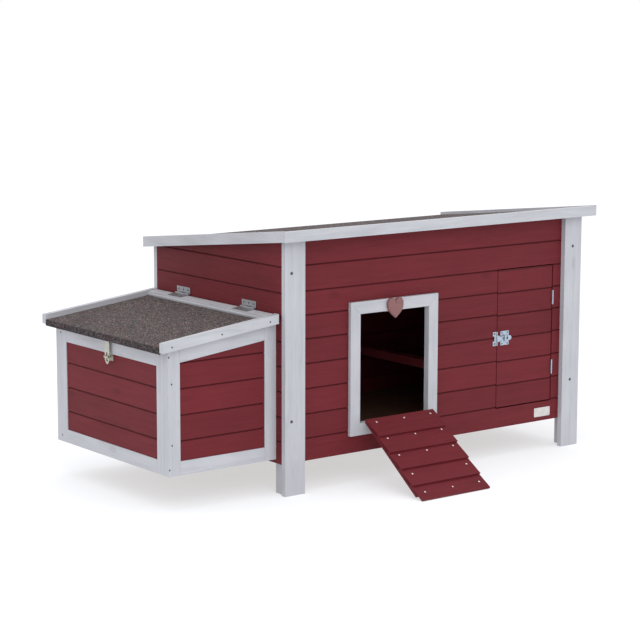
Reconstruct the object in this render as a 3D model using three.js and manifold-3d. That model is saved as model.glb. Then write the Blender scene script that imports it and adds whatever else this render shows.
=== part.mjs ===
// Chicken coop: a small boarded cabin on legs with a sloping felted roof,
// a side nest box with a lifting lid, a board door with a hasp, and a pop
// hole with a slatted ramp that folds up to close it.
// Millimetres, +X along the front wall, +Y to the back, +Z up.
// The origin is at the centre of the footprint, on the ground.
import * as THREE from 'three';
import * as BufferGeometryUtils from 'three/addons/utils/BufferGeometryUtils.js';
import Module from 'manifold-3d';

const wasm = await Module();
wasm.setup();

// ---------- driving dimensions ----------
const GAP = 0.3;                 // clearance between touching pieces
const CABIN_L = 1130;            // front posts, outside to outside
const CABIN_D = 659.5;           // front post face to back post face
const POST_W = 69, POST_T = 16;  // corner boards
const LEG = 31;                  // square inner legs
const BOARD_T = 10;              // wall boards
const BASE_Z = 89;               // underside of the walls
const SEAMS = [152.6, 222.4, 294.1, 365.1, 434.9, 502.3, 569.7, 642.3];
const GROOVE_W = 5, GROOVE_D = 2.6;
// roof
const SLOPE = 0.115;             // fall towards the back
const FASCIA_TOP = 748;          // at the front edge
const FASCIA_H = 30.5, FASCIA_T = 16;
const OV_L = 28.3, OV_R = 28.4, OV_F = 33.2, OV_B = 14.6;
const FELT_T = 3, DECK_T = 10, FELT_DROP = 9;
// pop hole
const POP = { x0: 234.9, x1: 559.3, z0: 138.9, z1: 524.2, w: 35.3, y: 6 };
// access door
const DOOR = { x0: 803, x1: 1024.6, z0: 152, z1: 569 };
const DOOR_HINGE = { x: 1026.6, y: 13.2 };
// nest box, outside faces
const NEST = { len: 358, y0: 41.5, y1: 627, z0: 100, t: 20, w: 39, recess: 2.5 };
const LID_Z0 = 514, LID_SLOPE = (514 - 470) / 379; // top of the lid trims at the wall
const LID_HINGE = { x: -6.4, z: 514 };
// ramp
const RAMP_W = 250, RAMP_L = 314.6, RAMP_N = 5;
const RAMP_HINGE = { y: -3.2, z: 172.9 };
const RAMP_ANGLE = 127.3;        // turn from resting on the ground to closed

// ---------- helpers ----------
const group = new THREE.Group();
const look = (hex, rough, metal = 0) => new THREE.MeshStandardMaterial({ color: hex, roughness: rough, metalness: metal });
const RED = look(0x6e3034, 0.62), WHITE = look(0xc6c6cc, 0.55), FELT = look(0x62585a, 0.95);
const ZINC = look(0x9fa6ad, 0.35, 1), BRASS = look(0xb3a070, 0.35, 1), ROSE = look(0x916e6c, 0.6), PLY = look(0xb89a72, 0.75);

function add(name, geometry, material) {
  const m = new THREE.Mesh(geometry, material);
  m.name = name;
  group.add(m);
  return m;
}
function box(x0, x1, y0, y1, z0, z1) {
  const g = new THREE.BoxGeometry(x1 - x0, y1 - y0, z1 - z0);
  g.translate((x0 + x1) / 2, (y0 + y1) / 2, (z0 + z1) / 2);
  return g;
}
// extrude a closed outline of [a, b] points along a third axis
function prism(pts, plane, lo, hi, holes = []) {
  const s = new THREE.Shape(pts.map(p => new THREE.Vector2(p[0], p[1])));
  for (const h of holes) s.holes.push(new THREE.Path(h.map(p => new THREE.Vector2(p[0], p[1]))));
  const g = new THREE.ExtrudeGeometry(s, { depth: hi - lo, bevelEnabled: false });
  const m = new THREE.Matrix4();
  if (plane === 'xy') m.makeTranslation(0, 0, lo);
  // outline (x, z) extruded along y
  if (plane === 'xz') m.set(1, 0, 0, 0, 0, 0, -1, hi, 0, 1, 0, 0, 0, 0, 0, 1);
  // outline (y, z) extruded along x
  if (plane === 'yz') m.set(0, 0, 1, lo, 1, 0, 0, 0, 0, 1, 0, 0, 0, 0, 0, 1);
  g.applyMatrix4(m);
  return g;
}
function solid(g) {
  const c = g.clone();
  c.deleteAttribute('normal'); c.deleteAttribute('uv');
  const w = BufferGeometryUtils.mergeVertices(c, 1e-4);
  return new wasm.Manifold(new wasm.Mesh({
    numProp: 3,
    vertProperties: Float32Array.from(w.attributes.position.array),
    triVerts: Uint32Array.from(w.index.array),
  }));
}
function geom(man) {
  const m = man.getMesh();
  const g = new THREE.BufferGeometry();
  g.setAttribute('position', new THREE.BufferAttribute(Float32Array.from(m.vertProperties), 3));
  g.setIndex(new THREE.BufferAttribute(Uint32Array.from(m.triVerts), 1));
  const flat = g.toNonIndexed();
  flat.computeVertexNormals();
  return flat;
}
const union = (...gs) => geom(gs.slice(1).reduce((a, g) => a.add(solid(g)), solid(gs[0])));
const cut = (g, ...tools) => geom(tools.reduce((a, t) => a.subtract(solid(t)), solid(g)));
function cyl(r, len, n = 16) { return new THREE.CylinderGeometry(r, r, len, n, 1); } // along Y
function cylZ(r, x, y, z0, z1, n = 16) { const g = cyl(r, z1 - z0, n); g.rotateX(Math.PI / 2); g.translate(x, y, (z0 + z1) / 2); return g; }
function cylY(r, x, z, y0, y1, n = 16) { const g = cyl(r, y1 - y0, n); g.translate(x, (y0 + y1) / 2, z); return g; }
function cylX(r, y, z, x0, x1, n = 16) { const g = cyl(r, x1 - x0, n); g.rotateZ(Math.PI / 2); g.translate((x0 + x1) / 2, y, z); return g; }

// height of the felt's top and of the deck's underside over a point at depth y
const fasciaTop = y => FASCIA_TOP - SLOPE * (y + OV_F);
const feltTop = y => fasciaTop(y) - FELT_DROP;
const deckUnder = y => feltTop(y) - FELT_T - GAP - DECK_T;

// a wall's face outline with V grooves: [depth, z] pairs on the outer face
// outer = depth of the outer face, dir = +1 when the wall thickens towards +depth
function boarded(outer, dir, z0, zTopOuter, zTopInner, seams = SEAMS, gw = GROOVE_W, gd = GROOVE_D) {
  const pts = [[outer, z0]];
  for (const s of seams) {
    if (s - gw < z0 || s + gw > Math.min(zTopOuter, zTopInner)) continue;
    pts.push([outer, s - gw / 2], [outer + dir * gd, s], [outer, s + gw / 2]);
  }
  pts.push([outer, zTopOuter], [outer + dir * BOARD_T, zTopInner], [outer + dir * BOARD_T, z0]);
  return pts;
}

const FY = POST_T + GAP;                    // outer face of the front boards
const BY = CABIN_D - POST_T - GAP;          // outer face of the back boards
const IN_X0 = BOARD_T + GAP, IN_X1 = CABIN_L - BOARD_T - GAP;

// ---------- corner posts and legs ----------
for (const [name, x0] of [['front_left_post', 0], ['front_right_post', CABIN_L - POST_W]]) {
  add(name, prism([[0, 0], [POST_T, 0], [POST_T, deckUnder(POST_T) - GAP], [0, deckUnder(0) - GAP]], 'yz', x0, x0 + POST_W), WHITE);
}
const LEG_Y0 = FY + BOARD_T + GAP;
for (const [name, x0] of [['front_left_leg', IN_X0 + GAP], ['front_right_leg', IN_X1 - GAP - LEG]]) {
  add(name, prism([[LEG_Y0, 0], [LEG_Y0 + LEG, 0], [LEG_Y0 + LEG, deckUnder(LEG_Y0 + LEG) - GAP], [LEG_Y0, deckUnder(LEG_Y0) - GAP]], 'yz', x0, x0 + LEG), WHITE);
}
for (const [name, side] of [['back_left_post', 0], ['back_right_post', 1]]) {
  const x0 = side ? CABIN_L - POST_W : 0, lx = side ? IN_X1 - GAP - LEG : IN_X0 + GAP;
  const boardTop = prism([[CABIN_D - POST_T, 0], [CABIN_D, 0], [CABIN_D, deckUnder(CABIN_D) - GAP], [CABIN_D - POST_T, deckUnder(CABIN_D - POST_T) - GAP]], 'yz', x0, x0 + POST_W);
  const y1 = BY - BOARD_T - GAP, y0 = y1 - LEG;
  const leg = prism([[y0, 0], [y1, 0], [y1, deckUnder(y1) - GAP], [y0, deckUnder(y0) - GAP]], 'yz', lx, lx + LEG);
  // the leg and the outer board meet below the wall, through a block under the boards
  const heel = box(lx, lx + LEG, y1 - 1, CABIN_D - POST_T + 1, 0, BASE_Z - GAP);
  add(name, union(boardTop, leg, heel), WHITE);
}

// ---------- walls ----------
{
  const zt = deckUnder(FY) - 1.2, zi = deckUnder(FY + BOARD_T) - 1.2;
  const body = prism(boarded(FY, 1, BASE_Z, zt, zi), 'yz', IN_X0, IN_X1);
  const pop = box(POP.x0 - GAP, POP.x1 + GAP, FY - 5, FY + BOARD_T + 5, POP.z0 - GAP, POP.z1 + GAP);
  const door = box(DOOR.x0 - 2.6, DOOR_HINGE.x + 2.2, FY - 5, FY + BOARD_T + 5, DOOR.z0 - 4, DOOR.z1 + 3);
  add('front_wall_boards', cut(body, pop, door), RED);
}
{
  const z0 = deckUnder(FY) - 1.2, z1 = deckUnder(BY) - 1.2;
  const y0 = FY, y1 = BY;
  // side walls: boards run front to back, top cut to the roof's slope
  const outline = [[y0, BASE_Z], [y1, BASE_Z], [y1, z1], [y0, z0]];
  const grooves = (outer, dir) => SEAMS.map(s =>
    prism([[outer - dir * 1, s - GROOVE_W / 2 - GROOVE_W / 2 / GROOVE_D], [outer + dir * GROOVE_D, s], [outer - dir * 1, s + GROOVE_W / 2 + GROOVE_W / 2 / GROOVE_D]], 'xz', y0 - 5, y1 + 5));
  const left = prism(outline, 'yz', 0, BOARD_T);
  // doorway into the nest box
  const doorway = box(-5, BOARD_T + 5, NEST.y0 + NEST.t + 18, NEST.y1 - NEST.t - 18, 150, 430);
  add('left_wall_boards', cut(left, ...grooves(0, 1), doorway), RED);
  const right = prism(outline, 'yz', CABIN_L - BOARD_T, CABIN_L);
  add('right_wall_boards', cut(right, ...grooves(CABIN_L, -1)), RED);
}
{
  const zt = deckUnder(BY) - 1.2, zi = deckUnder(BY - BOARD_T) - 1.2;
  add('back_wall_boards', prism(boarded(BY, -1, BASE_Z, zt, zi), 'yz', IN_X0, IN_X1), RED);
}

// ---------- floor and perch ----------
{
  const y0 = FY + BOARD_T + GAP, y1 = BY - BOARD_T - GAP;
  const slab = box(IN_X0 + GAP, IN_X1 - GAP, y0, y1, 96, 106);
  const n = LEG + 0.6;
  const notches = [];
  for (const xa of [IN_X0 - 1, IN_X1 - n]) for (const ya of [y0 - 1, y1 - n - 0.3])
    notches.push(box(xa, xa + n + 1.3, ya, ya + n + 1.3, 90, 112));
  add('floor_panel', cut(slab, ...notches), PLY);
  add('perch', box(740, 778, y0 + GAP, y1 - GAP, 240, 266), PLY);
}

// ---------- roof ----------
{
  const X0 = -OV_L, X1 = CABIN_L + OV_R, Y0 = -OV_F, Y1 = CABIN_D + OV_B;
  const ix0 = X0 + FASCIA_T + GAP, ix1 = X1 - FASCIA_T - GAP, iy0 = Y0 + FASCIA_T + GAP;
  const slab = (ya, yb, top, th) => [[ya, top(ya) - th], [yb, top(yb) - th], [yb, top(yb)], [ya, top(ya)]];
  const deckTop = y => feltTop(y) - FELT_T - GAP;
  add('roof_deck', prism(slab(iy0, Y1 - FELT_T - GAP, deckTop, DECK_T), 'yz', ix0, ix1), PLY);
  // felt: over the deck and turned down over the low back edge
  const yb = Y1 - FELT_T;
  const felt = [[iy0, feltTop(iy0)], [iy0, feltTop(iy0) - FELT_T], [yb, feltTop(yb) - FELT_T], [yb, feltTop(yb) - 22], [Y1, feltTop(Y1) - 22], [Y1, feltTop(Y1)]];
  add('roof_felt', prism(felt.reverse(), 'yz', ix0, ix1), FELT);
  // front fascia, square cut, mitred at both ends, standing above the felt
  const ft = FASCIA_TOP - 2.6;
  const front = prism([[Y0, ft - 29.4], [Y0 + FASCIA_T, ft - 29.4], [Y0 + FASCIA_T, ft], [Y0, ft]], 'yz', X0 + GAP, X1 - GAP);
  const big = FASCIA_T * 3;
  const cutL = prism([[X0 - 5, Y0 - 5 - GAP * 1.5], [X0 + big, Y0 + big - GAP * 1.5], [X0 - 5, Y0 + big]], 'xy', 600, 800);
  const cutR = prism([[X1 + 5, Y0 - 5 - GAP * 1.5], [X1 + 5, Y0 + big], [X1 - big, Y0 + big - GAP * 1.5]], 'xy', 600, 800);
  add('roof_fascia_front', cut(front, cutL, cutR), WHITE);
  const side = (xa, xb) => prism(slab(Y0, Y1, fasciaTop, FASCIA_H), 'yz', xa, xb);
  const cutL2 = prism([[X0 - 5, Y0 - 5], [X0 - 5, Y0 - 10], [X0 + big, Y0 - 10], [X0 + big, Y0 + big]], 'xy', 600, 800);
  const cutR2 = prism([[X1 + 5, Y0 - 5], [X1 - big, Y0 + big], [X1 - big, Y0 - 10], [X1 + 5, Y0 - 10]], 'xy', 600, 800);
  add('roof_fascia_left', cut(side(X0, X0 + FASCIA_T), cutL2), WHITE);
  add('roof_fascia_right', cut(side(X1 - FASCIA_T, X1), cutR2), WHITE);
}

// ---------- pop hole frame, turn catch and stop ----------
{
  const outer = [[POP.x0, POP.z0], [POP.x1, POP.z0], [POP.x1, POP.z1], [POP.x0, POP.z1]];
  const w = POP.w;
  const inner = [[POP.x0 + w, POP.z0 + w], [POP.x0 + w, POP.z1 - w], [POP.x1 - w, POP.z1 - w], [POP.x1 - w, POP.z0 + w]];
  add('pop_frame', prism(outer, 'xz', POP.y, FY + BOARD_T, [inner]), WHITE);
  add('ramp_stop_block', box(376, 418, FY + BOARD_T + GAP, FY + BOARD_T + 14, 483, 515), ROSE);
  // heart-shaped turn catch
  const s = new THREE.Shape();
  s.moveTo(0, -32.8);
  s.bezierCurveTo(-11, -24, -29, -12, -29, 7);
  s.bezierCurveTo(-29, 20, -21, 26.3, -14, 26.3);
  s.bezierCurveTo(-7, 26.3, -2, 22, 0, 16);
  s.bezierCurveTo(2, 22, 7, 26.3, 14, 26.3);
  s.bezierCurveTo(21, 26.3, 29, 20, 29, 7);
  s.bezierCurveTo(29, -12, 11, -24, 0, -32.8);
  const pts = s.getPoints(5).map(p => [p.x + 392, p.y + 500.5]);
  pts.pop();
  add('heart_catch', prism(pts, 'xz', -4.3, POP.y - GAP), ROSE);
}

// ---------- ramp ----------
// built along s (away from the hinge) and n (out of the walked face), then turned into place
{
  const rest = new THREE.Group();
  const x0 = (POP.x0 + POP.x1) / 2 - RAMP_W / 2, x1 = x0 + RAMP_W;
  const th = THREE.MathUtils.degToRad(RAMP_ANGLE);
  // closed: s = +z, n = +y from the hinge axis; at rest the ramp is turned down by RAMP_ANGLE
  const place = (sn, xa, xb) => prism(sn.map(([s, n]) => {
    const y = n, z = s;
    return [RAMP_HINGE.y + y * Math.cos(th) - z * Math.sin(th), RAMP_HINGE.z + y * Math.sin(th) + z * Math.cos(th)];
  }).reverse(), 'yz', xa, xb);
  const NB = 9.5, N0 = 17.8, S0 = 2.1, pitch = (RAMP_L - S0) / RAMP_N, lap = 9;
  for (let k = 0; k < RAMP_N; k++) {
    const a = S0 + k * pitch, b = k === RAMP_N - 1 ? RAMP_L : a + pitch + lap;
    const rise = 5.2 * (b - a) / (pitch + lap);
    add('ramp_slat_' + (k + 1), place([[a, N0], [a, N0 + 4], [b, N0 + rise + 6.2], [b, N0 + rise]], x0, x1), RED);
  }
  const batten = [[2, NB], [2, N0 - GAP], [RAMP_L - 26, N0 - GAP], [RAMP_L - 26, NB]];
  add('ramp_batten_left', place(batten, x0 + 1, x0 + 27), RED);
  add('ramp_batten_right', place(batten, x1 - 27, x1 - 1), RED);
  // hinge: frame leaf with arms out to two end knuckles, ramp leaf cranked back from the middle knuckle
  const hy = RAMP_HINGE.y, hz = RAMP_HINGE.z, cx = (x0 + x1) / 2, r = 2;
  const end = (xa, xb) => solid(cylX(r, hy, hz, xa, xb, 12)).add(solid(box(xa + 0.4, xb - 0.4, hy, POP.y - GAP - 0.6, hz - 1.9, hz - 0.6)));
  add('ramp_hinge_frame_leaf', geom(solid(box(cx - 45, cx + 45, POP.y - GAP - 1.2, POP.y - GAP, 146, hz - 0.2))
    .add(end(cx - 44.6, cx - 15.3)).add(end(cx + 15.3, cx + 44.6))), ZINC);
  const wide = place([[4, NB - GAP - 1.1], [4, NB - GAP], [26, NB - GAP], [26, NB - GAP - 1.1]], x0 + 1, x1 - 1);
  const neck = place([[-0.48, 0.28], [4.52, 8.93], [5.48, 8.37], [0.48, -0.28]], cx - 14.6, cx + 14.6);
  add('ramp_hinge_ramp_leaf', geom(solid(cylX(r, hy, hz, cx - 15, cx + 15, 12)).add(solid(wide)).add(solid(neck))), ZINC);
}

// ---------- access door ----------
{
  const dy0 = FY, dy1 = FY + BOARD_T;
  const seams = SEAMS.map(s => s - 3);
  const pts = [[dy0, DOOR.z0]];
  for (const s of seams) if (s > DOOR.z0 + 6 && s < DOOR.z1 - 6) pts.push([dy0, s - GROOVE_W / 2], [dy0 + GROOVE_D, s], [dy0, s + GROOVE_W / 2]);
  pts.push([dy0, DOOR.z1], [dy1, DOOR.z1], [dy1, DOOR.z0]);
  add('access_door_boards', prism(pts, 'yz', DOOR.x0, DOOR.x1), RED);
  // ledged and braced back
  const by0 = dy1 + GAP, by1 = by0 + 12, ax = DOOR.x0 + 16, bx = DOOR.x1 - 16;
  const lower = box(ax, bx, by0, by1, 190, 222), upper = box(ax, bx, by0, by1, 500, 532);
  const diag = prism([[ax + 4, 206], [ax + 40, 206], [bx - 4, 516], [bx - 40, 516]], 'xz', by0, by1);
  add('access_door_brace', union(lower, upper, diag), PLY);
  // butt hinges: pin axis in front of the boards, leaves folded into the joint
  for (const [nm, z0, z1] of [['lower', 233, 276], ['upper', 448, 491]]) {
    const h = z1 - z0, k = h / 3, r = 2.5, X = DOOR_HINGE.x, Y = DOOR_HINGE.y;
    const wl = union(
      cylZ(r, X, Y, z0, z0 + k - 0.15, 12), cylZ(r, X, Y, z1 - k + 0.15, z1, 12),
      box(X + 0.7, X + 1.9, Y, dy1 - 0.5, z0, z1));
    const relief = box(X - 3, X + 2.9, Y - 4, Y + 2.9, z0 + k - 0.15, z1 - k + 0.15);
    add('door_hinge_' + nm + '_wall_leaf', cut(wl, relief), ZINC);
    const dl = cut(box(X - 1.7, X - 0.5, Y, dy1 - 0.5, z0, z1),
      box(X - 3, X + 2.9, Y - 4, Y + 2.9, z0 - 1, z0 + k + 0.15), box(X - 3, X + 2.9, Y - 4, Y + 2.9, z1 - k - 0.15, z1 + 1));
    add('door_hinge_' + nm + '_door_leaf', geom(solid(dl).add(solid(cylZ(r, X, Y, z0 + k + 0.15, z1 - k - 0.15, 12)))), ZINC);
  }
  // hasp: leaf on the wall, strap over the turn plate on the door
  const HX = 799.5, HZ = 363, HY = FY - GAP;
  const leaf = union(
    box(784, 797, HY - 1.4, HY, 342, 384.5),
    cylZ(2.0, HX, HY - 2.0, 342, 351.7, 10), cylZ(2.0, HX, HY - 2.0, 374.3, 384.5, 10),
    box(796, HX, HY - 1.4, HY, 342, 351.7), box(796, HX, HY - 1.4, HY, 374.3, 384.5));
  add('door_hasp_leaf', leaf, ZINC);
  const sy0 = HY - 5.4, sy1 = HY - 4.0;
  const strapOut = [[HX + 1, 353], [HX + 8, 353], [812, 350], [846, 350], [855.5, HZ], [846, 376], [812, 376], [HX + 8, 373], [HX + 1, 373]];
  const slot = [[818, 358.6], [818, 367.4], [842, 367.4], [842, 358.6]];
  const strap = geom(solid(prism(strapOut, 'xz', sy0, sy1, [slot]))
    .add(solid(box(HX + 0.4, HX + 3, sy0, HY - 2.0, 353, 373)))
    .add(solid(cylZ(2.0, HX, HY - 2.0, 352, 374, 10))));
  add('door_hasp_strap', strap, ZINC);
  const plate = union(box(814.5, 848.5, HY - 1.2, HY, 341.5, 384.5), cylY(3.0, 830, HZ, HY - 5.6, HY - 1, 12));
  add('door_turn_plate', plate, ZINC);
  // turn knob on the end of the spigot: passes the slot when upright along it
  add('door_turn_knob', (() => {
    const g = prism([[-9, -3.6], [9, -3.6], [11.2, -1.6], [11.2, 1.6], [9, 3.6], [-9, 3.6], [-11.2, 1.6], [-11.2, -1.6]].map(([a, b]) => [830 + b, HZ + a]).reverse(), 'xz', HY - 9.4, HY - 5.9);
    return g;
  })(), ZINC);
}

// ---------- nest box ----------
const NX0 = -NEST.len, NX1 = -GAP;
const lidTop = x => LID_Z0 + LID_SLOPE * (x + 9);             // top edge of the lid trims
const lidUnder = x => lidTop(x) - 30.6;                       // rests on the side panels
{
  const w = NEST.w, t = NEST.t, rc = NEST.recess;
  const zt = x => lidUnder(x) - GAP;
  // near and far side panels: a frame with the boards set back inside it
  const panel = (nm, y0, y1, boardsY0, boardsY1, outFace) => {
    const outer = [[NX0, NEST.z0], [NX1, NEST.z0], [NX1, zt(NX1)], [NX0, zt(NX0)]];
    const ix0 = NX0 + w, ix1 = NX1 - w, iz0 = NEST.z0 + w;
    const inner = [[ix0, iz0], [ix0, zt(ix0) - w], [ix1, zt(ix1) - w], [ix1, iz0]];
    add('nest_' + nm + '_frame', prism(outer, 'xz', y0, y1, [inner]), WHITE);
    const g = GAP;
    const b = prism([[ix0 + g, iz0 + g], [ix1 - g, iz0 + g], [ix1 - g, zt(ix1) - w - g], [ix0 + g, zt(ix0) - w - g]], 'xz', boardsY0, boardsY1);
    const dir = outFace < (boardsY0 + boardsY1) / 2 ? 1 : -1;
    const gr = [193.6, 264.3, 336.5, 406.6].map(s => prism([[outFace - dir, s - GROOVE_W / 2 - 1], [outFace + dir * GROOVE_D, s], [outFace - dir, s + GROOVE_W / 2 + 1]], 'yz', ix0 - 5, ix1 + 5));
    add('nest_' + nm + '_boards', cut(b, ...gr), RED);
  };
  panel('near', NEST.y0, NEST.y0 + t, NEST.y0 + rc, NEST.y0 + t - 2, NEST.y0 + rc);
  panel('far', NEST.y1 - t, NEST.y1, NEST.y1 - t + 2, NEST.y1 - rc, NEST.y1 - rc);
  // end panel between the side panels
  const ey0 = NEST.y0 + t + GAP, ey1 = NEST.y1 - t - GAP, ztop = Math.min(zt(NX0), zt(NX0 + t));
  const we = 36.5;
  const eo = [[ey0, NEST.z0], [ey1, NEST.z0], [ey1, ztop], [ey0, ztop]];
  const a0 = ey0 + we - 1, a1 = ey1 - we + 1, b0 = NEST.z0 + w, b1 = 396;
  add('nest_end_frame', prism(eo, 'yz', NX0, NX0 + t, [[[a0, b0], [a0, b1], [a1, b1], [a1, b0]]]), WHITE);
  const g = GAP, bx0 = NX0 + rc, bx1 = NX0 + t - 2;
  const bd = prism([[a0 + g, b0 + g], [a1 - g, b0 + g], [a1 - g, b1 - g], [a0 + g, b1 - g]], 'yz', bx0, bx1);
  const gr = [193.6, 264.3, 335.5].map(s => prism([[bx0 - 1, s - GROOVE_W / 2 - 1], [bx0 + GROOVE_D, s], [bx0 - 1, s + GROOVE_W / 2 + 1]], 'xz', a0 - 5, a1 + 5));
  add('nest_end_boards', cut(bd, ...gr), RED);
  // floor and the divider between the two laying bays
  add('nest_floor', box(NX0 + t + GAP, NX1, ey0, ey1, NEST.z0 + 4, NEST.z0 + 14), PLY);
  const my = (NEST.y0 + NEST.y1) / 2;
  add('nest_divider', box(NX0 + t + 2 * GAP, NX1 - 4, my - 6, my + 6, NEST.z0 + 14 + GAP, 330), PLY);
}

// ---------- nest lid ----------
{
  const LY0 = NEST.y0 - 25, LY1 = NEST.y1 + 25, LX0 = -388, T = 18;
  const XW = LID_HINGE.x - 2.6;                     // lid's edge at the wall
  const trim = (nm, ya, yb) => add(nm, prism([[LX0, lidTop(LX0) - 27], [XW, lidTop(XW) - 27], [XW, lidTop(XW)], [LX0, lidTop(LX0)]], 'xz', ya, yb), WHITE);
  trim('lid_trim_near', LY0, LY0 + T);
  trim('lid_trim_far', LY1 - T, LY1);
  const iy0 = LY0 + T + GAP, iy1 = LY1 - T - GAP;
  // rail along the wall
  const RW = 31;
  add('lid_hinge_rail', prism([[XW - RW, lidUnder(XW - RW) + 0.4 + 10], [XW, lidUnder(XW) + 0.4 + 10], [XW, lidTop(XW) - 2.5], [XW - RW, lidTop(XW - RW) - 2.5]], 'xz', iy0, iy1), WHITE);
  // deck: clears the nest panels under it, its front edge over the end panel
  const dt = x => lidTop(x) - 15 - FELT_T;
  const DX0 = LX0 + FELT_T + GAP, DX1 = XW - RW - GAP;
  add('lid_deck', prism([[DX0, dt(DX0) - 11], [DX1, dt(DX1) - 11], [DX1, dt(DX1)], [DX0, dt(DX0)]], 'xz', iy0, iy1), PLY);
  const ft = x => dt(x) + GAP;
  const fp = [[LX0, ft(LX0) + FELT_T], [LX0, ft(LX0) - 14], [LX0 + FELT_T, ft(LX0) - 14], [LX0 + FELT_T, ft(LX0 + FELT_T)], [DX1, ft(DX1)], [DX1, ft(DX1) + FELT_T]];
  add('lid_felt', prism(fp, 'xz', iy0, iy1), FELT);
  // butt hinges: wall leaf upright on the boards, lid leaf on the rail
  const hx = LID_HINGE.x, hz = LID_HINGE.z, r = 2.8;
  for (const [nm, yc] of [['near', 169], ['far', 499]]) {
    const h = 34, k = 2 * h / 3;
    const wall = geom(solid(box(-1.7, -GAP, yc - h, yc + h, hz, hz + 20))
      .subtract(solid(box(-9, 3, yc - h + k - 0.15, yc + h - k + 0.15, hz - 5, hz + 3.4)))
      .add(solid(box(hx, -GAP, yc - h, yc - h + k - 0.15, hz - 0.6, hz + 0.6)))
      .add(solid(box(hx, -GAP, yc + h - k + 0.15, yc + h, hz - 0.6, hz + 0.6)))
      .add(solid(cylY(r, hx, hz, yc - h, yc - h + k - 0.15, 12)))
      .add(solid(cylY(r, hx, hz, yc + h - k + 0.15, yc + h, 12))));
    add('lid_hinge_' + nm + '_wall_leaf', wall, ZINC);
    const top = x => lidTop(x) - 2.5 + GAP;
    const lf = prism([[hx - 30, top(hx - 30)], [hx - 3.4, top(hx - 3.4)], [hx - 3.4, top(hx - 3.4) + 1.4], [hx - 30, top(hx - 30) + 1.4]], 'xz', yc - h, yc + h);
    const neck = prism([[hx - 5, top(hx - 5)], [hx, hz - 1], [hx, hz + 0.8], [hx - 5, top(hx - 5) + 1.4]], 'xz', yc - h + k + 0.15, yc + h - k - 0.15);
    add('lid_hinge_' + nm + '_lid_leaf', geom(solid(lf).add(solid(neck)).add(solid(cylY(r, hx, hz, yc - h + k + 0.15, yc + h - k - 0.15, 12)))), ZINC);
  }
  // hasp under the lid's front edge, turn plate and knob on the end boards
  const my = 333, px = NX0 - 9, ud = x => dt(x) - 11 - GAP, kz = ud(px) - 3.9, kr = 2;
  add('nest_hasp_leaf', geom(solid(prism([[px - 15, ud(px - 15) - 1.4], [px - 1, ud(px - 1) - 1.4], [px - 1, ud(px - 1)], [px - 15, ud(px - 15)]], 'xz', my - 14, my + 14))
    .add(solid(box(px - 1.4, px, my - 14, my - 7.6, kz, ud(px) - 0.6)))
    .add(solid(box(px - 1.4, px, my + 7.6, my + 14, kz, ud(px) - 0.6)))
    .add(solid(cylY(kr, px, kz, my - 14, my - 7.6, 12)))
    .add(solid(cylY(kr, px, kz, my + 7.6, my + 14, 12)))), BRASS);
  const sb = kz - 388;                                // slot centre below the pin
  const strapPts = [[-7.3, 0.6], [-7.3, -5], [-12, -9], [-12, -sb - 10], [0, -sb - 21], [12, -sb - 10], [12, -9], [7.3, -5], [7.3, 0.6]];
  const slotPts = [[-4.6, -sb - 13], [-4.6, -sb + 13], [4.6, -sb + 13], [4.6, -sb - 13]];
  const tab = (pts) => pts.map(([a, b]) => [my + a, kz + b]);
  add('nest_hasp_strap', geom(solid(prism(tab(strapPts), 'yz', px - 0.7, px + 0.7, [tab(slotPts)]))
    .add(solid(cylY(kr, px, kz, my - 7.3, my + 7.3, 12)))), BRASS);
  const bx = NX0 + NEST.recess;
  add('nest_turn_plate', geom(solid(box(bx - GAP - 1.4, bx - GAP, my - 16, my + 16, 376.6, 395.4))
    .add(solid(cylX(2.8, my, 388, px - 1.8, bx - 1, 12)))), BRASS);
  add('nest_turn_knob', prism([[-9, -3.6], [9, -3.6], [11.2, -1.6], [11.2, 1.6], [9, 3.6], [-9, 3.6], [-11.2, 1.6], [-11.2, -1.6]].map(([a, b]) => [my + a, 388 + b]), 'yz', px - 8, px - 2.1), BRASS);
}

// ---------- centre the footprint on the origin ----------
const bounds = new THREE.Box3().setFromObject(group);
group.position.set(-(bounds.min.x + bounds.max.x) / 2, -(bounds.min.y + bounds.max.y) / 2, -bounds.min.z);
const coop = new THREE.Group();
coop.add(group);
export default coop;
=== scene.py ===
import bpy, bmesh, math, random
from mathutils import Vector, Matrix

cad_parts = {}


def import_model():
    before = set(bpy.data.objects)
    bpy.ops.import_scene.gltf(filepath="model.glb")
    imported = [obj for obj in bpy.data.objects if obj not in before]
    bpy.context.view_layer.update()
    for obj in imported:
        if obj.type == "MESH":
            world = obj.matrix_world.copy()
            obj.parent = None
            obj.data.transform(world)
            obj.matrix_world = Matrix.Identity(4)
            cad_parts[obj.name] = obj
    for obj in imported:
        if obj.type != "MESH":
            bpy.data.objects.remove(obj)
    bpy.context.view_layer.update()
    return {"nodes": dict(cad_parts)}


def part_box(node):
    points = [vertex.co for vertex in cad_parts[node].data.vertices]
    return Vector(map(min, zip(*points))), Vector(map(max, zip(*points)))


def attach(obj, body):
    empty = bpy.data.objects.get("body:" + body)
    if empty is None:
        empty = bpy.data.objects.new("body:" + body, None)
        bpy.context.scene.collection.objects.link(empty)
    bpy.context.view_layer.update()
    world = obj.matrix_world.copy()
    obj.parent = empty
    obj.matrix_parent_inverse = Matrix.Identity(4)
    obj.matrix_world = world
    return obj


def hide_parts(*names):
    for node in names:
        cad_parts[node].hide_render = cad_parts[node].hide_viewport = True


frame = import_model()
N = frame["nodes"]
random.seed(7)

# the design frame: millimetres from the outer foot of the front left post
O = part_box("front_left_post")[0]
def D(x, y, z):
    return Vector((O.x + x / 1000, O.y + y / 1000, z / 1000))

# ------------------------------------------------------------------ materials
def nt(name):
    m = bpy.data.materials.new(name)
    m.use_nodes = True
    t = m.node_tree
    b = t.nodes["Principled BSDF"]
    return m, t, b

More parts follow.
